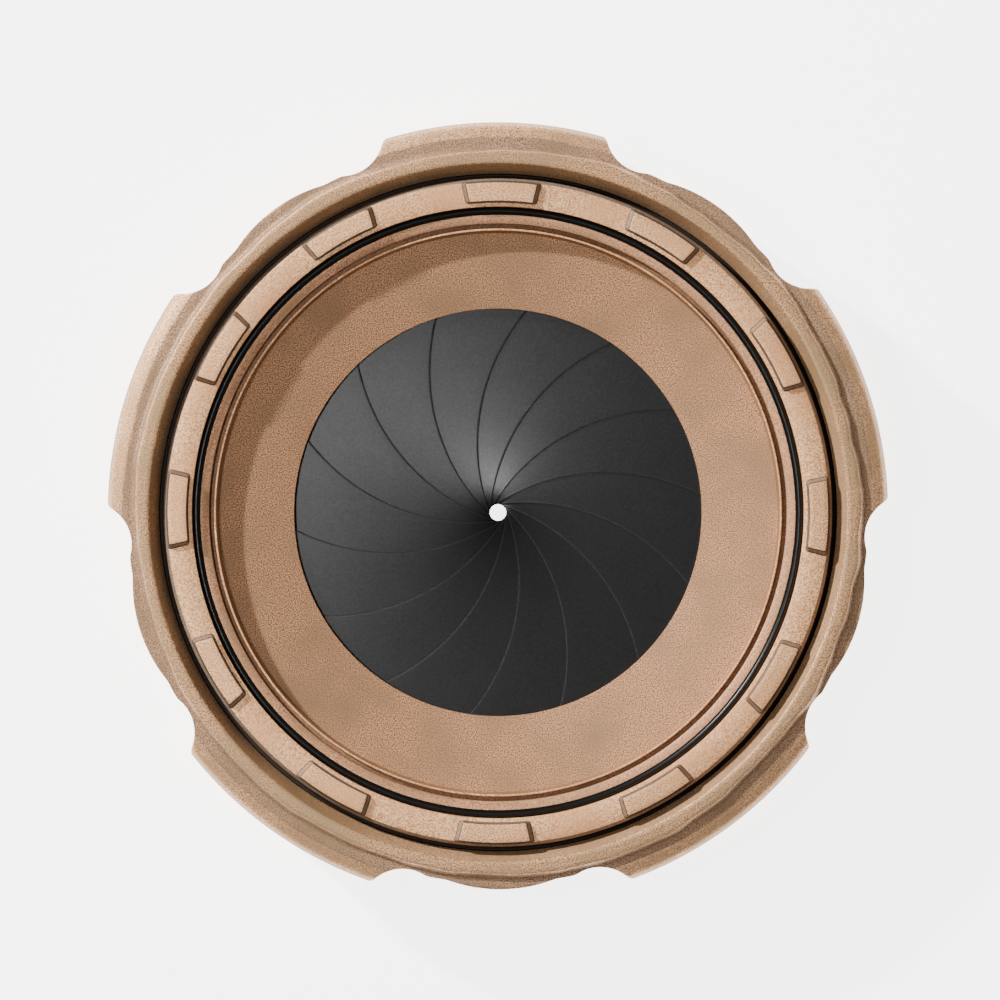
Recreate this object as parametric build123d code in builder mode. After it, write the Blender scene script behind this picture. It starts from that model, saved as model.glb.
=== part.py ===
from build123d import *
import os
from math import asin, cos, degrees, hypot, radians, sin

os.makedirs("parts", exist_ok=True)

# Iris diaphragm. Millimetres, +Z along the optical axis towards the front,
# origin on the axis at the rear mounting face. Stored closed to its smallest aperture.

# optical sizes
CLEAR_R = 25.0  # clear opening in the front disc
PINHOLE_R = 1.0  # aperture left when closed

# blades
BLADES = 14
PITCH = 360 / BLADES
LEAF_RI = 25.4  # inner edge of a leaf
LEAF_W = 9.6
LEAF_T = 0.08
LEAF_FALL = 0.6  # descent of a leaf from its pivot, mm for each radian about the closed axis
LEAF_Z = 10.14  # underside of a leaf at its pivot
LEAF_TRIM_R = 36.8  # corners cut back to clear the chamber wall
PIVOT_R = 30.2
DRIVE_R = 31.2
DRIVE_ANGLE = 138.0  # from pivot to drive stud, measured about the axis with blades open
STUD_R = 0.8
STUD_HOLE_R = STUD_R + 0.03
EDGE_ANGLE = 20.0  # direction of the first leaf's arc centre when closed

SWING = degrees(2 * asin((LEAF_RI - PINHOLE_R) / (2 * PIVOT_R)))
FIRST_PIVOT = EDGE_ANGLE + (90 - SWING / 2)

# control ring
RING_RATIO = 1.97  # degrees of grip ring for each degree of blade
RING_TRAVEL = RING_RATIO * SWING
CAM_R = 36.9
CAM_BORE_R = 25.8
CAM_WEB_Z = 6.3
CAM_TOP = 7.5
CAM_RIM_Z = 3.3
CAM_RIM_RI = 35.5
SLOT_W = 2 * (STUD_R + 0.62)

# housing
FLANGE_R = 42.5
FLANGE_T = 3.0
FLOOR_Z = 6.1
GROOVE_RI = 35.2  # groove in the floor that takes the cam ring's rim
REAR_BORE_R = 27.0
REAR_BORE_DEPTH = 4.0
REAR_CLEAR_R = 25.4
BARREL_R = 39.8
CHAMBER_R = 37.0
SEAT_R = 38.0
SEAT_Z = 12.2
BARREL_TOP = 14.0
MOUNT_PCD_R = 31.5
MOUNT_HOLE_R = 1.25
MOUNT_HOLE_DEPTH = 5.0
WASHER_T = 0.5  # glide washer between flange and grip ring

# drive screws
SCREW_Z = 5.2
SCREW_R = 1.0
SCREW_HEAD_R = 1.9
SCREW_HEAD_T = 1.7
SCREW_TIP_R = 35.7  # radius of the tip from the axis
HEAD_SEAT_R = 43.2
SCREW_START = 54.5
WINDOW_SPARE = 2.6  # degrees past the screw at each end of a window

# front stack
DISC_Z = 10.4
DISC_T = 1.0
PIVOT_HOLE_DEPTH = 0.7
LIP_R = 34.75
COLLAR_RI = 35.3
COLLAR_RO = 36.4
COLLAR_Z = 14.75
FRONT_Z = 15.6
SEAL_SECTION_R = 0.475
PAD_RING_RI = 37.35
PAD_RING_RO = 40.83
PADS = 12
PAD_RISE = 0.8
PAD_DRAFT = 20  # degrees

# grip ring
GRIP_Z = 1.0
RIM_Z = 16.9
GAP_FLOOR_Z = 13.3  # floor of the gap between pad ring and grip ring
LUG_R = 47.75
BASE_R = 45.25
LUGS = 5
LUG_START = 18.5
LUG_HALF = 16.3
HUMP_R = 46.0
HUMP_HALF = 8.5
FLANK_CUTTER_R = 5.1  # the flanks of a lug are milled with a round cutter
FLANK_CUTTER_AWAY = 5.7  # degrees from the end of a lug to the cutter's centre
FLANK_DIP_R = 44.85


def polar(radius, angle):
    return (radius * cos(radians(angle)), radius * sin(radians(angle)))


def turned(point, centre, angle):
    x = point[0] - centre[0]
    y = point[1] - centre[1]
    c = cos(radians(angle))
    s = sin(radians(angle))
    return (centre[0] + c * x - s * y, centre[1] + s * x + c * y)


def save(part, name):
    part.label = name
    export_step(part, "parts/" + name + ".step")


# ---- base housing: flange, floor with a groove round it, and barrel ----
with BuildPart() as base_housing:
    with BuildSketch(Plane.XY):
        Circle(FLANGE_R)
        Circle(REAR_BORE_R, mode=Mode.SUBTRACT)
    extrude(amount=FLANGE_T)
    with BuildSketch(Plane.XY.offset(FLANGE_T)):
        Circle(GROOVE_RI)
        Circle(REAR_BORE_R, mode=Mode.SUBTRACT)
    extrude(amount=REAR_BORE_DEPTH - FLANGE_T)
    with BuildSketch(Plane.XY.offset(REAR_BORE_DEPTH)):
        Circle(GROOVE_RI)
        Circle(REAR_CLEAR_R, mode=Mode.SUBTRACT)
    extrude(amount=FLOOR_Z - REAR_BORE_DEPTH)
    with BuildSketch(Plane.XY.offset(FLANGE_T)):
        Circle(BARREL_R)
        Circle(CHAMBER_R, mode=Mode.SUBTRACT)
    extrude(amount=SEAT_Z - FLANGE_T)
    with BuildSketch(Plane.XY.offset(SEAT_Z)):
        Circle(BARREL_R)
        Circle(SEAT_R, mode=Mode.SUBTRACT)
    extrude(amount=BARREL_TOP - SEAT_Z)
    # three windows that let the drive screws travel round the barrel
    with BuildSketch(Plane.XY.offset(SCREW_Z - SCREW_R - 0.1)):
        window_start = SCREW_START - RING_TRAVEL - WINDOW_SPARE
        window_sweep = RING_TRAVEL + 2 * WINDOW_SPARE
        with BuildLine():
            low = CenterArc((0, 0), CHAMBER_R - 1, window_start, window_sweep)
            high = CenterArc((0, 0), BARREL_R + 1, window_start, window_sweep)
            Line(low @ 0, high @ 0)
            Line(low @ 1, high @ 1)
        first_window = make_face()
        for side in (1, 2):
            add(first_window.rotate(Axis.Z, 120 * side))
    extrude(amount=2 * SCREW_R + 0.2, mode=Mode.SUBTRACT)
    # tapped holes in the rear face, through the thick floor
    with BuildSketch(Plane.XY):
        with PolarLocations(MOUNT_PCD_R, 4, start_angle=45):
            Circle(MOUNT_HOLE_R)
    extrude(amount=MOUNT_HOLE_DEPTH, mode=Mode.SUBTRACT)
    rear_rim = base_housing.edges().filter_by(GeomType.CIRCLE).group_by(Axis.Z)[0]
    chamfer(rear_rim.filter_by(lambda e: abs(e.radius - FLANGE_R) < 0.01), 0.5)
save(base_housing.part, "base_housing")


# ---- front disc: sunk floor with the clear opening, lip and seat flange ----
with BuildPart() as front_disc:
    with BuildSketch(Plane.XZ):
        with BuildLine():
            Polyline(
                (CLEAR_R, DISC_Z),
                (LIP_R, DISC_Z),
                (LIP_R, SEAT_Z),
                (SEAT_R - 0.05, SEAT_Z),
                (SEAT_R - 0.05, SEAT_Z + 1.0),
                (LIP_R, SEAT_Z + 1.0),
                (LIP_R, SEAT_Z + 1.6),
                (LIP_R - 0.25, SEAT_Z + 1.6),
                (LIP_R - 0.45, DISC_Z + DISC_T),
                (CLEAR_R, DISC_Z + DISC_T),
                close=True,
            )
        make_face()
    revolve(axis=Axis.Z)
    # fourteen blind pivot holes in its rear face
    with BuildSketch(Plane.XY.offset(DISC_Z)):
        with PolarLocations(PIVOT_R, BLADES, start_angle=FIRST_PIVOT):
            Circle(STUD_HOLE_R)
    extrude(amount=PIVOT_HOLE_DEPTH, mode=Mode.SUBTRACT)
save(front_disc.part, "front_disc")


# ---- collar that clamps the disc ----
with BuildPart() as collar:
    with BuildSketch(Plane.XZ):
        with BuildLine():
            Polyline(
                (COLLAR_RI, SEAT_Z + 1.0),
                (SEAT_R - 0.02, SEAT_Z + 1.0),
                (SEAT_R - 0.02, BARREL_TOP),
                (COLLAR_RO, BARREL_TOP),
                (COLLAR_RO, COLLAR_Z - 0.12),
                (COLLAR_RO - 0.12, COLLAR_Z),
                (COLLAR_RI + 0.12, COLLAR_Z),
                (COLLAR_RI, COLLAR_Z - 0.12),
                close=True,
            )
        make_face()
    revolve(axis=Axis.Z)
save(collar.part, "collar")


# ---- rubber O-ring in the groove between collar and pad ring ----
with BuildPart() as front_o_ring:
    with BuildSketch(Plane.XZ):
        with Locations(((COLLAR_RO + PAD_RING_RI) / 2, BARREL_TOP + SEAL_SECTION_R)):
            Circle(SEAL_SECTION_R)
    revolve(axis=Axis.Z)
save(front_o_ring.part, "front_o_ring")


# ---- pad ring with twelve raised, drafted pads ----
with BuildPart() as pad:
    with BuildSketch(Plane.XY.offset(FRONT_Z)) as pad_foot:
        Polygon((37.0, -4.15), (41.0, -5.1), (41.0, 5.1), (37.0, 4.15), align=None)
        Circle(40.35, mode=Mode.INTERSECT)
        Circle(37.8, mode=Mode.SUBTRACT)
        fillet(pad_foot.vertices(), 0.35)
    extrude(amount=PAD_RISE, taper=PAD_DRAFT)

with BuildPart() as pad_ring:
    with BuildSketch(Plane.XZ):
        with BuildLine():
            Polyline(
                (PAD_RING_RI, BARREL_TOP),
                (PAD_RING_RO, BARREL_TOP),
                (PAD_RING_RO, FRONT_Z - 0.4),
                (PAD_RING_RO - 0.4, FRONT_Z),
                (PAD_RING_RI + 0.12, FRONT_Z),
                (PAD_RING_RI, FRONT_Z - 0.12),
                close=True,
            )
        make_face()
    revolve(axis=Axis.Z)
    with PolarLocations(0, PADS, start_angle=-0.6):
        add(pad.part)
save(pad_ring.part, "pad_ring")


# ---- glide washer under the grip ring ----
with BuildPart() as glide_washer:
    with BuildSketch(Plane.XY.offset(FLANGE_T)):
        Circle(42.2)
        Circle(BARREL_R + 0.1, mode=Mode.SUBTRACT)
    extrude(amount=WASHER_T)
save(glide_washer.part, "glide_washer")


# ---- grip ring: five lugs, low humps between them ----
hump_half = radians(HUMP_HALF)
hump_x = BASE_R * cos(hump_half)
hump_y = BASE_R * sin(hump_half)
hump_centre = (HUMP_R**2 - hump_x**2 - hump_y**2) / (2 * (HUMP_R - hump_x))
with BuildPart() as grip_ring:
    with BuildSketch(Plane.XY.offset(GRIP_Z)) as outline:
        with PolarLocations(0, LUGS, start_angle=LUG_START):
            Polygon((0, 0), polar(60, -LUG_HALF), polar(60, LUG_HALF), align=None)
        Circle(LUG_R, mode=Mode.INTERSECT)
        Circle(BASE_R)
        with PolarLocations(hump_centre, LUGS, start_angle=LUG_START + 180 / LUGS):
            Circle(HUMP_R - hump_centre)
        for side in (-1, 1):
            flank = LUG_START + side * (LUG_HALF + FLANK_CUTTER_AWAY)
            with PolarLocations(FLANK_DIP_R + FLANK_CUTTER_R, LUGS, start_angle=flank):
                Circle(FLANK_CUTTER_R, mode=Mode.SUBTRACT)
        lug_tips = outline.vertices().filter_by(lambda v: hypot(v.X, v.Y) > LUG_R - 0.01)
        fillet(lug_tips, 0.35)
    extrude(amount=RIM_Z - GRIP_Z)
    # the turned section: open gap inside, flat rim, step down to a crowned face, rounded edge
    with BuildSketch(Plane.XZ):
        with BuildLine():
            rise = Polyline(
                (46.2, GRIP_Z),
                (42.7, GRIP_Z),
                (42.7, FLANGE_T + WASHER_T + 0.05),
                (BARREL_R + 0.07, FLANGE_T + WASHER_T + 0.05),
                (BARREL_R + 0.07, BARREL_TOP - 0.2),
                (41.0, BARREL_TOP - 0.2),
                (41.2, GAP_FLOOR_Z),
                (42.1, GAP_FLOOR_Z),
                (42.45, RIM_Z - 0.3),
                (42.65, RIM_Z),
                (43.93, RIM_Z),
                (44.35, RIM_Z - 0.9),
                (45.9, RIM_Z - 0.45),
            )
            shoulder = ThreePointArc(rise @ 1, (47.2, RIM_Z - 1.2), (LUG_R, RIM_Z - 2.6))
            Polyline(shoulder @ 1, (LUG_R, GRIP_Z + 1.6), rise @ 0)
        make_face()
    revolve(axis=Axis.Z, mode=Mode.INTERSECT)
    # radial holes and counterbores for the drive screws
    for side in (0, 1, 2):
        heading = SCREW_START + 120 * side
        outward = Vector(*polar(1, heading), 0)
        with BuildSketch(Plane(origin=outward * 38 + Vector(0, 0, SCREW_Z), z_dir=outward)):
            Circle(SCREW_R)
        extrude(amount=HEAD_SEAT_R + 1 - 38, mode=Mode.SUBTRACT)
        with BuildSketch(Plane(origin=outward * HEAD_SEAT_R + Vector(0, 0, SCREW_Z), z_dir=outward)):
            Circle(SCREW_HEAD_R + 0.1)
        extrude(amount=8, mode=Mode.SUBTRACT)
save(grip_ring.part, "grip_ring")


# ---- path of a drive stud in the cam ring, from which each slot is laid out ----
pivot = (PIVOT_R, 0.0)
drive_open = polar(DRIVE_R, DRIVE_ANGLE)
path = []
for step in range(25):
    opened = SWING * step / 24
    stud = turned(drive_open, pivot, SWING - opened)
    path.append(turned(stud, (0, 0), RING_RATIO * opened))
drive_closed = path[0]
innermost = min(path, key=lambda p: hypot(*p))
run = Vector(drive_closed[0] - innermost[0], drive_closed[1] - innermost[1], 0).normalized()
side_dir = Vector(-run.Y, run.X, 0)
along = [Vector(*p, 0).dot(run) for p in path]
across = [Vector(*p, 0).dot(side_dir) for p in path]
slot_mid = run * ((min(along) + max(along)) / 2) + side_dir * ((min(across) + max(across)) / 2)
slot_length = max(along) - min(along) + SLOT_W
slot_turn = Vector(1, 0, 0).get_signed_angle(run, Vector(0, 0, 1))

# ---- cam ring: slotted web and a rim that takes the drive screws ----
with BuildPart() as cam_ring:
    with BuildSketch(Plane.XY.offset(CAM_RIM_Z)):
        Circle(CAM_R)
        Circle(CAM_RIM_RI, mode=Mode.SUBTRACT)
    extrude(amount=CAM_WEB_Z - CAM_RIM_Z)
    with BuildSketch(Plane.XY.offset(CAM_WEB_Z)):
        Circle(CAM_R)
        Circle(CAM_BORE_R, mode=Mode.SUBTRACT)
        for number in range(BLADES):
            with Locations(Rotation(0, 0, FIRST_PIVOT + PITCH * number)):
                with Locations(Location((slot_mid.X, slot_mid.Y, 0), (0, 0, slot_turn))):
                    SlotOverall(slot_length, SLOT_W, mode=Mode.SUBTRACT)
    extrude(amount=CAM_TOP - CAM_WEB_Z)
    for side in (0, 1, 2):
        heading = SCREW_START + 120 * side
        outward = Vector(*polar(1, heading), 0)
        rim_bore = outward * (CAM_RIM_RI - 0.2) + Vector(0, 0, SCREW_Z)
        with BuildSketch(Plane(origin=rim_bore, z_dir=outward)):
            Circle(SCREW_R)
        extrude(amount=2, mode=Mode.SUBTRACT)
save(cam_ring.part, "cam_ring")


# ---- three drive screws ----
with BuildPart() as drive_screws:
    for side in (0, 1, 2):
        heading = SCREW_START + 120 * side
        outward = Vector(*polar(1, heading), 0)
        with BuildSketch(Plane(origin=outward * SCREW_TIP_R + Vector(0, 0, SCREW_Z), z_dir=outward)):
            Circle(SCREW_R)
        extrude(amount=HEAD_SEAT_R - SCREW_TIP_R)
        with BuildSketch(Plane(origin=outward * HEAD_SEAT_R + Vector(0, 0, SCREW_Z), z_dir=outward)):
            Circle(SCREW_HEAD_R)
        extrude(amount=SCREW_HEAD_T)
        head_top = outward * (HEAD_SEAT_R + SCREW_HEAD_T) + Vector(0, 0, SCREW_Z)
        with BuildSketch(Plane(origin=head_top, z_dir=outward)):
            RegularPolygon(0.85, 6)
        extrude(amount=-1.0, mode=Mode.SUBTRACT)
save(drive_screws.part, "drive_screws")


# ---- one blade: a thin leaf that falls away as a helicoid, so the leaves overlap in a ring ----
arc_centre = turned((0, 0), pivot, SWING)
pivot_dir = Vector(pivot[0] - arc_centre[0], pivot[1] - arc_centre[1], 0)
pivot_heading = Vector(1, 0, 0).get_signed_angle(pivot_dir, Vector(0, 0, 1))
fall_rows = []
for step in range(0, 64):
    around = -12.0 + 4.0 * step
    height = LEAF_Z - LEAF_FALL * radians(around)
    fall_rows.append([Vector(*polar(reach, around), height) for reach in (0.6, 38.0)])

with BuildPart() as leaf:
    fall = Face.make_surface_from_array_of_points(fall_rows)
    extrude(to_extrude=fall, amount=LEAF_T, dir=(0, 0, 1))
    with BuildSketch(Plane.XY.offset(CAM_TOP - 1)):
        with BuildLine():
            inner = CenterArc(arc_centre, LEAF_RI, pivot_heading, DRIVE_ANGLE)
            outer = CenterArc(arc_centre, LEAF_RI + LEAF_W, pivot_heading, DRIVE_ANGLE)
            Line(inner @ 0, outer @ 0)
            Line(inner @ 1, outer @ 1)
        make_face()
        with Locations(pivot):
            Circle(2.2)
        with Locations(drive_closed):
            Circle(1.8)
        Circle(LEAF_TRIM_R, mode=Mode.INTERSECT)
        with Locations(pivot, drive_closed):
            Circle(STUD_R, mode=Mode.SUBTRACT)
    extrude(amount=6, mode=Mode.INTERSECT)

# ---- its two studs, pivot towards the front disc and drive towards the cam ring ----
drive_around = Vector(1, 0, 0).get_signed_angle(Vector(*drive_closed, 0), Vector(0, 0, 1)) % 360
drive_z = LEAF_Z - LEAF_FALL * radians(drive_around)
with BuildPart() as studs:
    with BuildSketch(Plane.XY.offset(LEAF_Z)):
        with Locations(pivot):
            Circle(STUD_R)
    extrude(amount=DISC_Z + PIVOT_HOLE_DEPTH - 0.1 - LEAF_Z)
    with BuildSketch(Plane.XY.offset(CAM_WEB_Z + 0.1)):
        with Locations(drive_closed):
            Circle(STUD_R)
    extrude(amount=drive_z + LEAF_T - CAM_WEB_Z - 0.1)

for number in range(BLADES):
    heading = FIRST_PIVOT + PITCH * number
    tag = "%02d" % (number + 1)
    with BuildPart() as blade_leaf:
        add(leaf.part, rotation=(0, 0, heading))
    save(blade_leaf.part, "blade_leaf_" + tag)
    with BuildPart() as blade_studs:
        add(studs.part, rotation=(0, 0, heading))
    save(blade_studs.part, "blade_studs_" + tag)
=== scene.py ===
import math

import bmesh
import bpy
from mathutils import Matrix, Vector, noise


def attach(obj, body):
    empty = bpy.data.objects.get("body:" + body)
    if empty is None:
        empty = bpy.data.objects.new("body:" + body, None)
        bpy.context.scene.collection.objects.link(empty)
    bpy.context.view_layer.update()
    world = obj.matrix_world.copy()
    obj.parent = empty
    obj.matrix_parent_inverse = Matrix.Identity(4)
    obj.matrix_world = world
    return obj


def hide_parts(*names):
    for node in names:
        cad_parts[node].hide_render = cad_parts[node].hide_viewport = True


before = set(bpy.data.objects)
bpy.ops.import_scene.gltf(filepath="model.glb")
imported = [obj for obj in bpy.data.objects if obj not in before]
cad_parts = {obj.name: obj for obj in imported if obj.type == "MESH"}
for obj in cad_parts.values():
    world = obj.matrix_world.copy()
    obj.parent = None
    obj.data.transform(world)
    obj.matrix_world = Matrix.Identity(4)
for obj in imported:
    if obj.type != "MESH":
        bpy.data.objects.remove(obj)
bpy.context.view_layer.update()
MM = 0.001

# heights and radii of the turned pieces, in millimetres from the rear face and the axis
FRONT_Z = 15.6
BARREL_TOP = 14.0
SEAT_Z = 12.2
DISC_Z = 10.4
DISC_TOP = 11.4
CLEAR_R = 25.0
LIP_R = 34.75
SEAT_R = 37.95
COLLAR_RI = 35.3
COLLAR_RO = 36.4
COLLAR_Z = 14.7
COLLAR_DISH = 0.27  # how far the collar's top falls towards the axis
LIP_Z = 13.95
PAD_RING_RI = 37.35
PAD_RING_RO = 40.83
PADS = 12
PAD_START = -0.6
PAD_FOOT = 0.4  # how far a pad reaches down past the ring's outer bevel
PAD_RISE = 0.8
PAD_RI = 37.8
PAD_RO = 40.52
PAD_HALF_MID = 4.6  # half the length of a pad, midway across it
PAD_TAPER_RI = 37.0  # a pad is PAD_HALF_RI long to each side at this radius
PAD_TAPER_RO = 41.0  # and PAD_HALF_RO long at this one
PAD_HALF_RI = 4.15
PAD_HALF_RO = 5.1
PAD_CORNER = 0.4
PAD_SUNK_TOP = 0.02  # where a pad's block starts above the ring, before its steps
PAD_END_SLOPE = 0.34  # how far a pad's two ends lean in
BARREL_R = 39.8
GRIP_Z = 1.0
RIM_Z = 16.9
GAP_FLOOR_Z = 13.3
GAP_WALL_FOOT_R = 41.32
GAP_WALL_TOP_R = 42.45
GAP_WALL_TOP_Z = 16.6
LUG_R = 47.75
BASE_R = 45.25
LUGS = 5
LUG_START = 18.5
LUG_HALF = 16.3
HUMP_R = 46.0
HUMP_HALF = 8.5
CUTTER_R = 5.1
CUTTER_DIP_R = 44.85
CUTTER_AWAY = 5.7  # degrees from the end of a lug to the cutter's centre
CORNER_EASE = 0.35  # degrees to each side over which a corner of the outline is eased
SKIN_WANDER = 0.85  # how strongly the step beside the rim wanders

# blades
BLADES = 14
LEAF_RI = 25.4
LEAF_W = 9.6
LEAF_T = 0.08
LEAF_FALL = 0.6  # millimetres for each radian about the closed axis
LEAF_Z = 10.14
LEAF_TRIM_R = 36.8
PIVOT_R = 30.2
PINHOLE_R = 1.0
PIVOT_HOLE_R = 0.83
PIVOT_HOLE_DEPTH = 0.7
DRIVE_ANGLE = 138.0
LEAF_EAR_R = 2.0
LEAF_ROWS = 110
LEAF_FALL_START = -0.25  # radians: a leaf's fall is counted round from here
LEAF_SHEARED = 0.08  # width of the darker strip along a leaf's sheared edges, painted shade that draws the edge lines
EDGE_ANGLE = 20.0
SWING = 2 * math.asin((LEAF_RI - PINHOLE_R) / (2 * PIVOT_R))


# ---------- colour and node helpers ----------


def from_hex(code):
    """sRGB hex to linear RGBA."""
    channels = [int(code[i : i + 2], 16) / 255 for i in (1, 3, 5)]
    linear = [c / 12.92 if c <= 0.04045 else ((c + 0.055) / 1.055) ** 2.4 for c in channels]
    return (*linear, 1.0)


def add_node(tree, kind, settings=None, sockets=None, links=None):
    """A node with its settings, its socket values, and links from other nodes' outputs."""
    node = tree.nodes.new(kind)
    for key, value in (settings or {}).items():
        setattr(node, key, value)
    for key, value in (sockets or {}).items():
        node.inputs[key].default_value = value
    for key, source in (links or {}).items():
        tree.links.new(source, node.inputs[key])
    return node


def new_material(name):
    made = bpy.data.materials.new(name)
    made.use_nodes = True
    made.node_tree.nodes.clear()
    return made, made.node_tree


def finish_material(tree, shader):
    add_node(tree, "ShaderNodeOutputMaterial", links={"Surface": shader.outputs[0]})


def per_mm(size):
    """Noise scale for features of this size in millimetres."""
    return 1 / (size * MM)


def mottled_colour(tree, where, light, dark, grain_mm, patch_mm, patch_share):
    """Fine two-tone grain over broad soft patches: the grain's node, and the colour's output."""
    grain = add_node(
        tree,
        "ShaderNodeTexNoise",
        sockets={"Scale": per_mm(grain_mm), "Detail": 3.0, "Roughness": 0.5},
        links={"Vector": where},
    )
    patch = add_node(
        tree,
        "ShaderNodeTexNoise",
        sockets={"Scale": per_mm(patch_mm), "Detail": 2.0, "Roughness": 0.5},
        links={"Vector": where},
    )
    spread = add_node(
        tree,
        "ShaderNodeMapRange",
        sockets={"From Min": 0.3, "From Max": 0.7},
        links={"Value": grain.outputs["Fac"]},
    )
    both = add_node(
        tree,
        "ShaderNodeMix",
        {"data_type": "FLOAT"},
        {0: patch_share},
        {2: spread.outputs[0], 3: patch.outputs["Fac"]},
    )
    mottled = add_node(
        tree,
        "ShaderNodeMix",
        {"data_type": "RGBA"},
        {6: from_hex(dark), 7: from_hex(light)},
        {0: both.outputs[0]},
    )
    return grain, mottled.outputs[2]


# ---------- finishes ----------


def blasted_bronze(name, light, dark, olive, grain_mm, dent_mm, roughness, metallic=0.5):
    # bronze-anodised aluminium, bead blasted: a warm grainy satin, every dent a small dull sparkle,
    # and slow drifts towards olive where the anodising ran thinner. Real grit marks are about
    # 0.1 mm, and are drawn half as coarse again to nearly twice as coarse, so that they show.
    made, tree = new_material(name)
    where = add_node(tree, "ShaderNodeTexCoord").outputs["Object"]
    grain = add_node(
        tree,
        "ShaderNodeTexNoise",
        sockets={"Scale": per_mm(grain_mm), "Detail": 2.0, "Roughness": 0.6},
        links={"Vector": where},
    )
    fine = add_node(
        tree,
        "ShaderNodeTexNoise",
        sockets={"Scale": per_mm(grain_mm * 0.45), "Detail": 1.0, "Roughness": 0.5},
        links={"Vector": where},
    )
    drift = add_node(
        tree,
        "ShaderNodeTexNoise",
        sockets={"Scale": per_mm(7.0), "Detail": 2.0, "Roughness": 0.5},
        links={"Vector": where},
    )
    spread = add_node(
        tree,
        "ShaderNodeMapRange",
        sockets={"From Min": 0.4, "From Max": 0.6},
        links={"Value": grain.outputs["Fac"]},
    )
    speckled = add_node(
        tree,
        "ShaderNodeMix",
        {"data_type": "RGBA"},
        {6: from_hex(dark), 7: from_hex(light)},
        {0: spread.outputs[0]},
    )
    thin = add_node(
        tree,
        "ShaderNodeMapRange",
        sockets={"From Min": 0.4, "From Max": 0.75},
        links={"Value": drift.outputs["Fac"]},
    )
    thin_colour = add_node(
        tree,
        "ShaderNodeMix",
        {"data_type": "RGBA"},
        {6: from_hex(dark), 7: from_hex(olive)},
        {0: grain.outputs["Fac"]},
    )
    colour = add_node(
        tree,
        "ShaderNodeMix",
        {"data_type": "RGBA"},
        links={0: thin.outputs[0], 6: speckled.outputs[2], 7: thin_colour.outputs[2]},
    )
    height = add_node(
        tree,
        "ShaderNodeMix",
        {"data_type": "FLOAT"},
        {0: 0.35},
        {2: grain.outputs["Fac"], 3: fine.outputs["Fac"]},
    )
    dents = add_node(
        tree,
        "ShaderNodeBump",
        sockets={"Strength": 1.0, "Distance": dent_mm * MM},
        links={"Height": height.outputs[0]},
    )
    skin = add_node(
        tree,
        "ShaderNodeBsdfPrincipled",
        sockets={"Metallic": metallic, "Roughness": roughness},
        links={"Base Color": colour.outputs[2], "Normal": dents.outputs[0]},
    )
    finish_material(tree, skin)
    return made


def blackened_spring_steel(name, light, dark, metallic, roughness):
    # oxide-blackened spring steel: charcoal, satin enough to shade softly across each leaf, a fine tooth
    made, tree = new_material(name)
    where = add_node(tree, "ShaderNodeTexCoord").outputs["Object"]
    grain, colour = mottled_colour(tree, where, light, dark, 0.3, 6.0, 0.4)
    tooth = add_node(
        tree,
        "ShaderNodeBump",
        sockets={"Strength": 0.4, "Distance": 0.004 * MM},
        links={"Height": grain.outputs["Fac"]},
    )
    skin = add_node(
        tree,
        "ShaderNodeBsdfPrincipled",
        sockets={"Metallic": metallic, "Roughness": roughness},
        links={"Base Color": colour, "Normal": tooth.outputs[0]},
    )
    finish_material(tree, skin)
    return made


def black_anodised_aluminium():
    # matte black anodising on a turned blank: near black, with faint circular tool marks
    made, tree = new_material("black_anodised_aluminium")
    where = add_node(tree, "ShaderNodeTexCoord").outputs["Object"]
    _, colour = mottled_colour(tree, where, "#2b2b2d", "#1d1d1f", 0.2, 5.0, 0.3)
    marks = add_node(
        tree,
        "ShaderNodeTexWave",
        {"wave_type": "RINGS", "rings_direction": "Z"},
        {"Scale": per_mm(3.0), "Distortion": 0.4},
        {"Vector": where},
    )
    turned = add_node(
        tree,
        "ShaderNodeBump",
        sockets={"Strength": 0.15, "Distance": 0.01 * MM},
        links={"Height": marks.outputs["Fac"]},
    )
    skin = add_node(
        tree,
        "ShaderNodeBsdfPrincipled",
        sockets={"Metallic": 0.6, "Roughness": 0.45},
        links={"Base Color": colour, "Normal": turned.outputs[0]},
    )
    finish_material(tree, skin)
    return made


def nitrile_rubber():
    # moulded nitrile rubber: deep black with a thin dull grey highlight
    made, tree = new_material("nitrile_rubber")
    where = add_node(tree, "ShaderNodeTexCoord").outputs["Object"]
    _, colour = mottled_colour(tree, where, "#0f0e0e", "#080808", 0.3, 3.0, 0.5)
    skin = add_node(
        tree,
        "ShaderNodeBsdfPrincipled",
        sockets={"Roughness": 0.3, "IOR": 1.52, "Specular IOR Level": 0.22},
        links={"Base Color": colour},
    )
    finish_material(tree, skin)
    return made


def plain_screw_steel():
    # stainless steel, as machined: grey with a fine bright grain
    made, tree = new_material("plain_screw_steel")
    where = add_node(tree, "ShaderNodeTexCoord").outputs["Object"]
    _, colour = mottled_colour(tree, where, "#a9a9ab", "#8f8f92", 0.15, 2.0, 0.3)
    skin = add_node(
        tree,
        "ShaderNodeBsdfPrincipled",
        sockets={"Metallic": 1.0, "Roughness": 0.32},
        links={"Base Color": colour},
    )
    finish_material(tree, skin)
    return made


def acetal_plastic():
    # natural acetal, turned: milky white, waxy
    made, tree = new_material("acetal_plastic")
    where = add_node(tree, "ShaderNodeTexCoord").outputs["Object"]
    _, colour = mottled_colour(tree, where, "#e6e3da", "#d8d4c9", 0.4, 4.0, 0.4)
    skin = add_node(
        tree,
        "ShaderNodeBsdfPrincipled",
        sockets={"Roughness": 0.42, "IOR": 1.48},
        links={"Base Color": colour},
    )
    finish_material(tree, skin)
    return made


# ---------- turned pieces ----------


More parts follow.
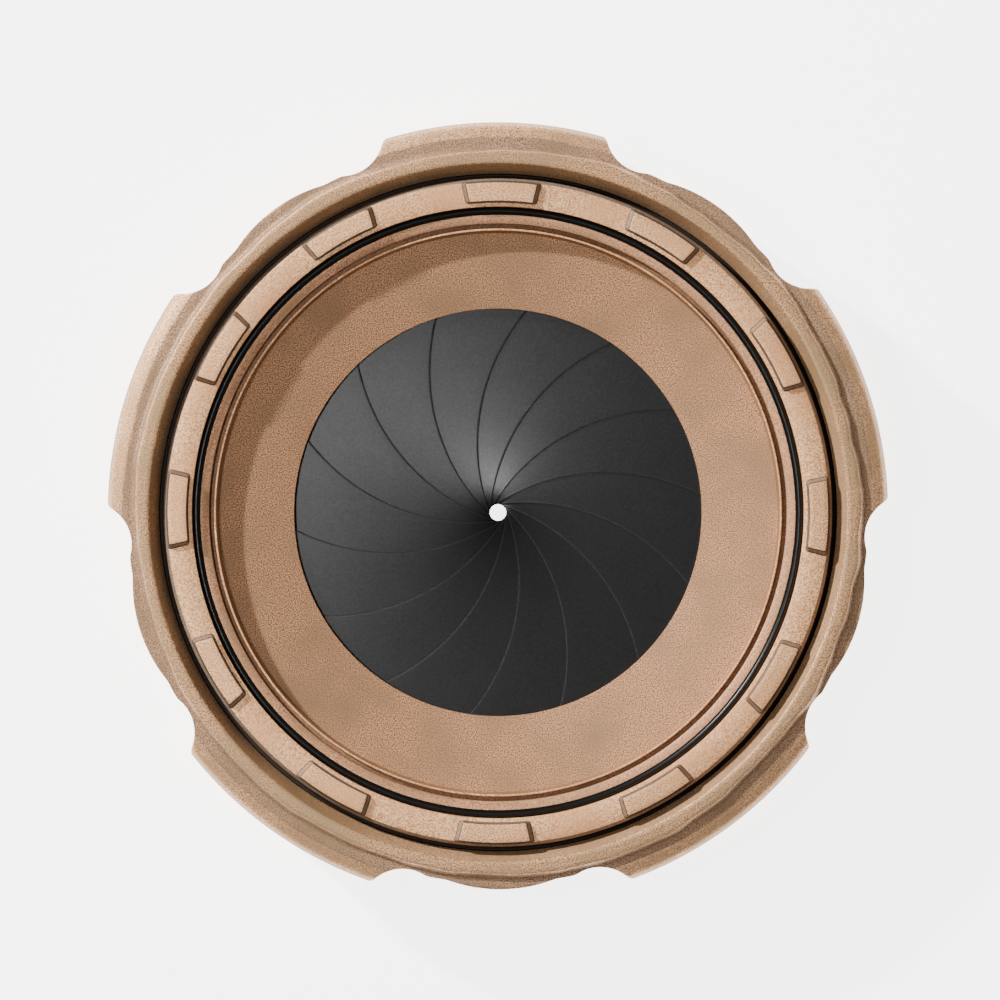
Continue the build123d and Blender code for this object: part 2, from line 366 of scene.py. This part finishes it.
def into_piece(name, mesh_edit, finishes, body, node=None, smooth_angle=35):
    """Stores a bmesh as a piece at the world origin, shaded smooth but for its sharp edges."""
    mesh = bpy.data.meshes.new(name)
    mesh_edit.to_mesh(mesh)
    mesh_edit.free()
    mesh.shade_smooth()
    mesh.set_sharp_from_angle(angle=math.radians(smooth_angle))
    for finish in finishes:
        mesh.materials.append(finish)
    piece = bpy.data.objects.new(name, mesh)
    bpy.context.collection.objects.link(piece)
    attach(piece, body)
    if node:
        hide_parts(node)
    return piece


def spun(section, steps):
    """A closed section of (radius, height) points in millimetres, spun about the axis."""
    ring = bmesh.new()
    points = [ring.verts.new((r * MM, 0, z * MM)) for r, z in section]
    edges = [ring.edges.new((points[i - 1], points[i])) for i in range(len(points))]
    bmesh.ops.spin(
        ring,
        geom=points + edges,
        cent=(0, 0, 0),
        axis=(0, 0, 1),
        dvec=(0, 0, 0),
        angle=math.tau,
        steps=steps,
        use_merge=True,
    )
    bmesh.ops.remove_doubles(ring, verts=ring.verts, dist=1e-6)
    bmesh.ops.recalc_face_normals(ring, faces=ring.faces)
    return ring


def round_sharp_edges(ring, width_mm, segments, least_angle=25):
    """Bevels every edge sharper than the angle."""
    least = math.radians(least_angle)
    sharp = [e for e in ring.edges if len(e.link_faces) == 2 and e.calc_face_angle() > least]
    bmesh.ops.bevel(
        ring,
        geom=sharp,
        affect="EDGES",
        offset=width_mm * MM,
        offset_type="OFFSET",
        segments=segments,
        profile=0.5,
        material=-1,
        clamp_overlap=True,
    )


def give_finish(ring, index, radii_mm, heights_mm):
    """Gives the faces within a span of radii and heights the finish with this index."""
    for f in ring.faces:
        middle = f.calc_center_median() / MM
        radius = math.hypot(middle.x, middle.y)
        if radii_mm[0] < radius < radii_mm[1] and heights_mm[0] < middle.z < heights_mm[1]:
            f.material_index = index


def drill_pivot_holes(piece):
    """Cuts the blind holes for the blades' pivot studs into the back of the disc."""
    drills = bmesh.new()
    for number in range(BLADES):
        angle = math.radians(EDGE_ANGLE + 90) - SWING / 2 + math.tau * number / BLADES
        place = Vector((PIVOT_R * math.cos(angle), PIVOT_R * math.sin(angle), DISC_Z)) * MM
        bmesh.ops.create_cone(
            drills,
            cap_ends=True,
            segments=32,
            radius1=PIVOT_HOLE_R * MM,
            radius2=PIVOT_HOLE_R * MM,
            depth=2 * PIVOT_HOLE_DEPTH * MM,
            matrix=Matrix.Translation(place),
        )
    drill_mesh = bpy.data.meshes.new("drills")
    drills.to_mesh(drill_mesh)
    drills.free()
    cutter = bpy.data.objects.new("drills", drill_mesh)
    bpy.context.collection.objects.link(cutter)
    cut = piece.modifiers.new("pivot_holes", "BOOLEAN")
    cut.operation = "DIFFERENCE"
    cut.solver = "EXACT"
    cut.object = cutter
    drilled = bpy.data.meshes.new_from_object(piece.evaluated_get(bpy.context.evaluated_depsgraph_get()))
    piece.modifiers.clear()
    piece.data = drilled
    bpy.data.objects.remove(cutter)
    bpy.data.meshes.remove(drill_mesh)


def front_disc_piece(finishes):
    section = [
        (CLEAR_R, DISC_Z),
        (LIP_R, DISC_Z),
        (LIP_R, SEAT_Z),
        (SEAT_R, SEAT_Z),
        (SEAT_R, SEAT_Z + 1.0),
        (LIP_R, SEAT_Z + 1.0),
        (LIP_R, LIP_Z),
        (LIP_R - 0.25, LIP_Z),
        (LIP_R - 0.45, DISC_TOP),
        (CLEAR_R, DISC_TOP),
    ]
    ring = spun(section, 360)
    round_sharp_edges(ring, 0.07, 2)
    # painted shade: the groove's floor and walls get the darker groove bronze
    give_finish(ring, 1, (LIP_R - 0.02, SEAT_R), (SEAT_Z, LIP_Z - 0.15))
    # painted highlight: the lip's top gets the brighter pad copper, a light line where it catches the light
    give_finish(ring, 2, (LIP_R - 0.27, LIP_R + 0.02), (LIP_Z - 0.15, LIP_Z + 0.1))
    piece = into_piece("front_disc_turned", ring, finishes, "housing", "front_disc")
    drill_pivot_holes(piece)


def collar_piece(finishes):
    section = [
        (COLLAR_RI, SEAT_Z + 1.0),
        (SEAT_R, SEAT_Z + 1.0),
        (SEAT_R, BARREL_TOP),
        (COLLAR_RO, BARREL_TOP),
        (COLLAR_RO, COLLAR_Z),
        (COLLAR_RI, COLLAR_Z - COLLAR_DISH),
    ]
    ring = spun(section, 360)
    round_sharp_edges(ring, 0.1, 3)
    # painted shade: the collar's inner wall, in the groove, gets the darker groove bronze
    give_finish(ring, 1, (COLLAR_RI - 0.02, COLLAR_RI + 0.04), (SEAT_Z, COLLAR_Z - COLLAR_DISH - 0.15))
    into_piece("collar_turned", ring, finishes, "housing", "collar")


def front_seal_piece(finishes):
    section_r = (PAD_RING_RI - COLLAR_RO) / 2
    middle = (PAD_RING_RI + COLLAR_RO) / 2
    height = BARREL_TOP + section_r
    section = []
    for step in range(28):
        a = math.tau * step / 28
        section.append((middle + section_r * math.cos(a), height + section_r * math.sin(a)))
    ring = spun(section, 360)
    into_piece("front_seal", ring, finishes, "housing", "front_o_ring", 180)


def max_height(block):
    return max(v.co.z for v in block.verts)


def inset_top(block, thickness_mm, rise_mm, finish):
    """Steps the block's top face in and up, and gives the faces between the finish with this index."""
    level = max_height(block) - 1e-6
    top = [f for f in block.faces if f.normal.z > 0.99 and f.calc_center_median().z > level]
    grown = bmesh.ops.inset_region(
        block,
        faces=top,
        thickness=thickness_mm * MM,
        depth=0,
        use_even_offset=True,
        use_boundary=True,
    )
    for f in grown["faces"]:
        f.material_index = finish
    moved = {v for f in top for v in f.verts}
    for v in moved:
        v.co.z += rise_mm * MM
    block.normal_update()


def pad_block(angle):
    """One raised pad: steep along the ring, leaning in at its ends, its edges darkened with painted shade.
    """
    block = bmesh.new()
    bmesh.ops.create_grid(block, x_segments=14, y_segments=3, size=1.0)
    for v in block.verts:
        radius = PAD_RI + (PAD_RO - PAD_RI) * (v.co.y + 1) / 2
        outwards = (radius - PAD_TAPER_RI) / (PAD_TAPER_RO - PAD_TAPER_RI)
        half_length = PAD_HALF_RI + (PAD_HALF_RO - PAD_HALF_RI) * outwards
        around = v.co.x * half_length / radius
        v.co = Vector((radius * math.cos(around), radius * math.sin(around), FRONT_Z - PAD_FOOT)) * MM
    grown = bmesh.ops.extrude_face_region(block, geom=block.faces[:])
    for v in [g for g in grown["geom"] if isinstance(g, bmesh.types.BMVert)]:
        v.co.z = (FRONT_Z + PAD_SUNK_TOP) * MM
    bmesh.ops.recalc_face_normals(block, faces=block.faces)
    upright = [
        e
        for e in block.edges
        if abs(e.verts[0].co.z - e.verts[1].co.z) > 0.04 * MM and e.calc_face_angle() > math.radians(50)
    ]
    bmesh.ops.bevel(
        block,
        geom=upright,
        affect="EDGES",
        offset=PAD_CORNER * MM,
        segments=5,
        profile=0.5,
        material=-1,
    )
    block.normal_update()
    foot_rise = 0.03
    edge_rise = 0.05
    crown_rise = 0.03
    wall_rise = PAD_RISE - PAD_SUNK_TOP - foot_rise - edge_rise - crown_rise
    # painted shade: the steps round the pad's top get the dark edge bronze and its flanks the grey one,
    # drawing dark outlines
    inset_top(block, 0.1, foot_rise, 1)
    inset_top(block, 0.03, wall_rise, 3)
    for v in block.verts:
        if v.co.z > max_height(block) - 1e-6:
            v.co.y *= 1 - PAD_END_SLOPE / PAD_HALF_MID
    inset_top(block, 0.05, edge_rise, 1)
    inset_top(block, 0.08, crown_rise, 1)
    block.transform(Matrix.Rotation(math.radians(angle), 4, "Z"))
    return block


def pad_ring_piece(finishes):
    section = [
        (PAD_RING_RI, BARREL_TOP),
        (PAD_RING_RO, BARREL_TOP),
        (PAD_RING_RO, FRONT_Z - PAD_FOOT),
        (PAD_RING_RO - 0.4, FRONT_Z),
        (PAD_RING_RI, FRONT_Z),
    ]
    ring = spun(section, 360)
    round_sharp_edges(ring, 0.08, 2)
    # painted shade: the ring's outer wall, down in the gap, is near black
    give_finish(ring, 2, (PAD_RING_RO - 0.05, PAD_RING_RO + 0.05), (BARREL_TOP, FRONT_Z - PAD_FOOT))
    # painted shade: the ring's outer bevel gets the grey flank bronze
    give_finish(ring, 3, (PAD_RING_RO - 0.4, PAD_RING_RO), (FRONT_Z - PAD_FOOT, FRONT_Z - 0.02))
    for number in range(PADS):
        block = pad_block(PAD_START + 360 / PADS * number)
        pad_mesh = bpy.data.meshes.new("pad")
        block.to_mesh(pad_mesh)
        block.free()
        ring.from_mesh(pad_mesh)
        bpy.data.meshes.remove(pad_mesh)
    into_piece("pad_ring_turned", ring, finishes, "housing", "pad_ring")


# ---------- blades ----------


def leaf_half_width(past_end):
    """Half width of a leaf at a distance past its square end: the round ear about a stud."""
    return math.sqrt(max(0.0, LEAF_EAR_R**2 - past_end**2))


def leaf_underside(place):
    """Height of a leaf's underside in millimetres, at a place before the leaf is turned."""
    around = math.atan2(place.y, place.x)
    if around < LEAF_FALL_START:
        around += math.tau
    return LEAF_Z - LEAF_FALL * around


def leaf_piece(number, finishes):
    """A crescent of thin sheet that falls as a helicoid, its long edges rolled down by the shears."""
    centre = Vector((PIVOT_R - PIVOT_R * math.cos(SWING), -PIVOT_R * math.sin(SWING), 0))
    heading = math.atan2(-centre.y, PIVOT_R - centre.x)
    reach = math.radians(DRIVE_ANGLE)
    length = reach * (LEAF_RI + LEAF_W / 2)
    ear_rows = (0.02, 0.8, 1.4, 1.8, LEAF_EAR_R)
    along = [-past for past in reversed(ear_rows)]
    along += [length * step / LEAF_ROWS for step in range(LEAF_ROWS + 1)]
    along += [length + past for past in ear_rows]
    across = [-1.0, -0.982, -0.94, -0.6, -0.2, 0.2, 0.6, 0.94, 0.982, 1.0]
    roll = {0: 0.014, 1: 0.002, 8: 0.002, 9: 0.014}
    leaf = bmesh.new()
    bmesh.ops.create_grid(leaf, x_segments=len(along) - 1, y_segments=len(across) - 1, size=1.0)
    for v in leaf.verts:
        row = round((v.co.x + 1) / 2 * (len(along) - 1))
        column = round((v.co.y + 1) / 2 * (len(across) - 1))
        past_end = max(-along[row], along[row] - length)
        half_width = leaf_half_width(past_end) if past_end > 0 else LEAF_W / 2
        radius = LEAF_RI + LEAF_W / 2 + half_width * across[column]
        turn = heading + along[row] / (LEAF_RI + LEAF_W / 2)
        place = centre + radius * Vector((math.cos(turn), math.sin(turn), 0))
        if place.length > LEAF_TRIM_R:
            place *= LEAF_TRIM_R / place.length
        place.z = leaf_underside(place) + LEAF_T - roll.get(column, 0.0)
        v.co = place * MM
    bmesh.ops.remove_doubles(leaf, verts=leaf.verts, dist=1e-6)
    # painted shade: the strips along both long edges get the darker sheared-edge steel
    for f in leaf.faces:
        from_arc = (f.calc_center_median() / MM - centre).xy.length
        if min(from_arc - LEAF_RI, LEAF_RI + LEAF_W - from_arc) < LEAF_SHEARED:
            f.material_index = 1
    grown = bmesh.ops.extrude_face_region(leaf, geom=leaf.faces[:])
    for v in [g for g in grown["geom"] if isinstance(g, bmesh.types.BMVert)]:
        v.co.z = leaf_underside(v.co) * MM
    bmesh.ops.recalc_face_normals(leaf, faces=leaf.faces)
    first = math.radians(EDGE_ANGLE + 90) - SWING / 2
    leaf.transform(Matrix.Rotation(first + math.tau * number / BLADES, 4, "Z"))
    tag = "%02d" % (number + 1)
    solid = "blade_leaf_" + tag
    into_piece("leaf_" + tag, leaf, finishes, "blade_" + tag, solid, 50)


# ---------- grip ring ----------


def grip_outline(angle):
    """Outer radius of the grip ring at an angle: lugs, milled flanks and low humps."""
    spacing = 360 / LUGS
    off = abs((angle - LUG_START + spacing / 2) % spacing - spacing / 2)
    radius = LUG_R
    cutter_angle = LUG_HALF + CUTTER_AWAY
    cutter_centre = CUTTER_DIP_R + CUTTER_R
    if off > LUG_HALF:
        hump_edge = (BASE_R * math.cos(math.radians(HUMP_HALF)), BASE_R * math.sin(math.radians(HUMP_HALF)))
        hump_centre = (HUMP_R**2 - hump_edge[0] ** 2 - hump_edge[1] ** 2) / (2 * (HUMP_R - hump_edge[0]))
        hump_r = HUMP_R - hump_centre
        away = math.radians(spacing / 2 - off)
        under = hump_r**2 - (hump_centre * math.sin(away)) ** 2
        hump = hump_centre * math.cos(away) + math.sqrt(under) if under > 0 else 0
        valley = max(BASE_R, hump)
        radius = LUG_R if off < cutter_angle else valley
    away = math.radians(off - cutter_angle)
    under = CUTTER_R**2 - (cutter_centre * math.sin(away)) ** 2
    if under > 0:
        radius = min(radius, cutter_centre * math.cos(away) - math.sqrt(under))
    return radius


def soft_outline(angle):
    """The outline with its corners eased over about half a millimetre."""
    nearby = (-CORNER_EASE, 0.0, CORNER_EASE)
    return sum(grip_outline(angle + off) for off in nearby) / len(nearby)


def grip_section():
    """Turned section of the grip ring: gap inside, flat rim, step down, lug face falling outwards."""
    section = [
        (42.7, GRIP_Z),
        (42.7, 3.55),
        (BARREL_R + 0.07, 3.55),
        (BARREL_R + 0.07, BARREL_TOP - 0.2),
        (41.05, BARREL_TOP - 0.2),
        (41.15, GAP_FLOOR_Z),
        (GAP_WALL_FOOT_R, GAP_FLOOR_Z),
    ]
    wall_run = GAP_WALL_TOP_R - GAP_WALL_FOOT_R
    wall_height = GAP_WALL_TOP_Z - GAP_FLOOR_Z
    for step in range(1, 8):
        section.append((GAP_WALL_FOOT_R + wall_run * step / 8, GAP_FLOOR_Z + wall_height * step / 8))
    section += [(GAP_WALL_TOP_R, GAP_WALL_TOP_Z), (42.53, RIM_Z - 0.1), (42.68, RIM_Z)]
    section += [(43.1, RIM_Z), (43.5, RIM_Z), (43.84, RIM_Z)]
    drops = [(43.94, 0.05), (44.04, 0.2), (44.14, 0.44), (44.25, 0.68), (44.4, 0.84), (44.6, 0.9)]
    drops += [(44.85, 0.9), (45.2, 0.9), (45.6, 0.9), (45.85, 0.93), (46.15, 1.02), (46.45, 1.13)]
    drops += [(46.75, 1.25), (47.0, 1.38), (47.2, 1.55), (47.36, 1.75), (47.5, 2.0), (47.61, 2.3)]
    drops += [(47.7, 2.65), (LUG_R, 3.1)]
    section += [(radius, RIM_Z - drop) for radius, drop in drops]
    section += [(LUG_R, z) for z in (12.5, 10.5, 8.5, 6.5, 4.5, 3.0)]
    section += [(LUG_R - 0.25, 2.3), (LUG_R - 0.8, 1.5), (LUG_R - 1.4, 1.12)]
    section += [(LUG_R - 1.9, GRIP_Z), (44.0, GRIP_Z)]
    return section


def cast_skin_wave(angle, strength):
    """How far the step beside the rim wanders outwards at an angle, in millimetres."""
    a = math.radians(angle)
    slow = noise.noise(Vector((3 * math.cos(a), 3 * math.sin(a), 0.7)))
    quick = noise.noise(Vector((11 * math.cos(a), 11 * math.sin(a), 4.1)))
    side = 0.35 + 0.65 * max(0.0, math.cos(a - math.radians(12)))
    return strength * side * (0.25 + 1.1 * slow + 0.55 * quick)


def grip_ring_piece(finishes):
    ring = spun(grip_section(), 1200)
    for v in ring.verts:
        radius = math.hypot(v.co.x, v.co.y) / MM
        if radius < 43:
            continue
        angle = math.degrees(math.atan2(v.co.y, v.co.x))
        grown = radius
        if v.co.z > (RIM_Z - 1.2) * MM and radius < 46.1:
            share = min(1.0, (radius - 43.0) / 0.9, (46.1 - radius) / 1.2)
            grown = radius + share * cast_skin_wave(angle, SKIN_WANDER)
        grown = min(grown, soft_outline(angle))
        v.co.x *= grown / radius
        v.co.y *= grown / radius
    # painted shade: the step below the rim gets a darker bronze
    give_finish(ring, 3, (43.8, 45.8), (RIM_Z - 0.95, RIM_Z - 0.6))
    give_finish(ring, 3, (43.8, 44.9), (RIM_Z - 0.95, RIM_Z - 0.25))
    give_finish(ring, 1, (42.0, 44.9), (RIM_Z - 0.25, RIM_Z + 0.1))
    # painted shade: the gap wall gets a darker, duller bronze
    give_finish(ring, 2, (BARREL_R, 42.6), (GAP_FLOOR_Z - 0.1, RIM_Z - 0.25))
    # painted shade: the gap's floor is near black
    give_finish(ring, 4, (BARREL_R, 41.5), (GAP_FLOOR_Z - 0.1, GAP_FLOOR_Z + 0.6))
    # painted shade: the lugs' outer wall gets the grey flank bronze, drawing a dark outline
    give_finish(ring, 5, (47.5, LUG_R + 0.1), (RIM_Z - 2.9, RIM_Z))
    into_piece("grip_ring_milled", ring, finishes, "control_ring", "grip_ring", 40)


# ---------- stage ----------


def light_table():
    made, tree = new_material("light_table")
    skin = add_node(
        tree,
        "ShaderNodeBsdfPrincipled",
        sockets={
            "Base Color": from_hex("#f2f1ee"),
            "Roughness": 0.9,
            "Emission Color": from_hex("#ffffff"),
            "Emission Strength": 4.4,
        },
    )
    finish_material(tree, skin)
    sheet = bmesh.new()
    bmesh.ops.create_grid(sheet, x_segments=1, y_segments=1, size=2.0)
    mesh = bpy.data.meshes.new("floor")
    sheet.to_mesh(mesh)
    sheet.free()
    just_below = -0.02 * MM
    mesh.transform(Matrix.Translation((0, 0, just_below)))
    mesh.materials.append(made)
    floor = bpy.data.objects.new("floor", mesh)
    bpy.context.collection.objects.link(floor)


def softbox(name, azimuth, elevation, distance, size, power):
    lamp = bpy.data.lights.new(name, "AREA")
    lamp.shape = "DISK"
    lamp.size = size
    lamp.energy = power
    holder = bpy.data.objects.new(name, lamp)
    a = math.radians(azimuth)
    e = math.radians(elevation)
    away = Vector((math.cos(a) * math.cos(e), math.sin(a) * math.cos(e), math.sin(e)))
    holder.location = away * distance
    holder.rotation_euler = away.to_track_quat("Z", "Y").to_euler()
    bpy.context.collection.objects.link(holder)


def studio():
    world = bpy.data.worlds.new("studio")
    world.use_nodes = True
    world.node_tree.nodes["Background"].inputs["Color"].default_value = from_hex("#ffffff")
    world.node_tree.nodes["Background"].inputs["Strength"].default_value = 0.24
    bpy.context.scene.world = world
    softbox("key", azimuth=142, elevation=30, distance=0.9, size=0.06, power=17.5)
    softbox("sheen", azimuth=181, elevation=75.4, distance=0.34, size=0.04, power=0.38)


def camera():
    distance = 0.8
    frame_width = 122.7 * MM
    aim_x = 0.25 * MM
    aim_y = 1.53 * MM
    eye = bpy.data.cameras.new("camera")
    eye.sensor_width = 36.0
    eye.lens = 36.0 * distance / frame_width
    eye.clip_start = 0.05
    eye.clip_end = 20
    holder = bpy.data.objects.new("camera", eye)
    holder.location = (aim_x, aim_y, distance + DISC_TOP * MM)
    bpy.context.collection.objects.link(holder)
    bpy.context.scene.camera = holder


def dress_cad(finishes):
    """Gives every shown CAD node its finish."""
    for name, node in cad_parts.items():
        for start, finish in finishes.items():
            if name.startswith(start):
                node.data.materials.clear()
                node.data.materials.append(finish)


grip_bronze = blasted_bronze(
    "bead_blasted_bronze_anodising", "#eeb988", "#946c4c", "#cba273", 0.18, 0.035, 0.55
)
rim_bronze = blasted_bronze(
    "turned_rim_bronze_anodising", "#e6b380", "#86644a", "#c2a172", 0.18, 0.035, 0.55
)
# painted shade: a darker bronze for the step below the rim, standing in for the rim's shadow on it
valley_painted_shade_bronze = blasted_bronze(
    "step_painted_shade_bronze_anodising", "#c69c78", "#725743", "#a3845f", 0.18, 0.035, 0.6
)
# painted shade: a darker, duller bronze for the gap wall inside the rim, standing in for the shade in the
# gap
gap_wall_painted_shade_bronze = blasted_bronze(
    "gap_wall_painted_shade_bronze_anodising", "#cb9d73", "#8b6847", "#a9855b", 0.18, 0.01, 0.7, 0.15
)
# painted shade: near-black bronze for the gap's floor and the pad ring's outer wall, standing in for the
# deep shade down there
painted_shade_black_bronze = blasted_bronze(
    "painted_shade_gap_floor_and_edges", "#3a2c22", "#221913", "#30261c", 0.16, 0.005, 0.7
)
pad_bronze = blasted_bronze(
    "fine_blasted_copper_anodising", "#ffd39c", "#c27c52", "#f6bd86", 0.18, 0.045, 0.5
)
# painted shade: a greyer, darker bronze for the pads' flanks, the pad ring's outer bevel and the lugs'
# outer wall, standing in for shade at their edges
flank_painted_shade_bronze = blasted_bronze(
    "grey_bronze_flanks_painted_shade", "#a48c77", "#7a6756", "#8f7b64", 0.18, 0.01, 0.55
)
collar_bronze = blasted_bronze(
    "turned_collar_copper_anodising", "#e0a67c", "#96684a", "#bd966a", 0.17, 0.025, 0.5
)
# painted shade: a darker reddish-brown for the groove between the lip and the collar, standing in for the
# shade in the groove
groove_painted_shade_bronze = blasted_bronze(
    "reddish_brown_groove_painted_shade", "#ad7f5c", "#785640", "#8c6b4c", 0.16, 0.01, 0.6
)
disc_bronze = blasted_bronze(
    "satin_blasted_copper_anodising", "#daa275", "#6a4a34", "#b38c66", 0.15, 0.03, 0.55
)
# painted shade: dark bronze for the thin outlines round each pad's top, standing in for the shade at its
# edges
edge_painted_shade_bronze = blasted_bronze(
    "dark_bronze_edges_painted_shade", "#6a5646", "#463930", "#584a3b", 0.16, 0.004, 0.6
)
blade_steel = blackened_spring_steel("blackened_spring_steel", "#373737", "#2c2c2c", 0.9, 0.32)
# painted shade: a darker, duller steel for the leaves' edge strips, standing in for the shade along each
# edge
sheared_edge_painted_shade_steel = blackened_spring_steel("sheared_edge_painted_shade", "#2a2a2a", "#1c1c1c", 0.6, 0.75)
black_metal = black_anodised_aluminium()
seal_rubber = nitrile_rubber()
screw_steel = plain_screw_steel()
glide_plastic = acetal_plastic()

dress_cad(
    {
        "blade_leaf": blade_steel,
        "blade_studs": screw_steel,
        "drive_screws": screw_steel,
        "cam_ring": black_metal,
        "base_housing": black_metal,
        "glide_washer": glide_plastic,
        "grip_ring": grip_bronze,
        "pad_ring": pad_bronze,
        "collar": collar_bronze,
        "front_disc": disc_bronze,
        "front_o_ring": seal_rubber,
    }
)
front_disc_piece((disc_bronze, groove_painted_shade_bronze, pad_bronze))
collar_piece((collar_bronze, groove_painted_shade_bronze))
front_seal_piece((seal_rubber,))
pad_ring_piece((pad_bronze, edge_painted_shade_bronze, painted_shade_black_bronze, flank_painted_shade_bronze))
grip_ring_piece(
    (grip_bronze, rim_bronze, gap_wall_painted_shade_bronze, valley_painted_shade_bronze, painted_shade_black_bronze, flank_painted_shade_bronze)
)
for leaf_number in range(BLADES):
    leaf_piece(leaf_number, (blade_steel, sheared_edge_painted_shade_steel))
light_table()
studio()
camera()
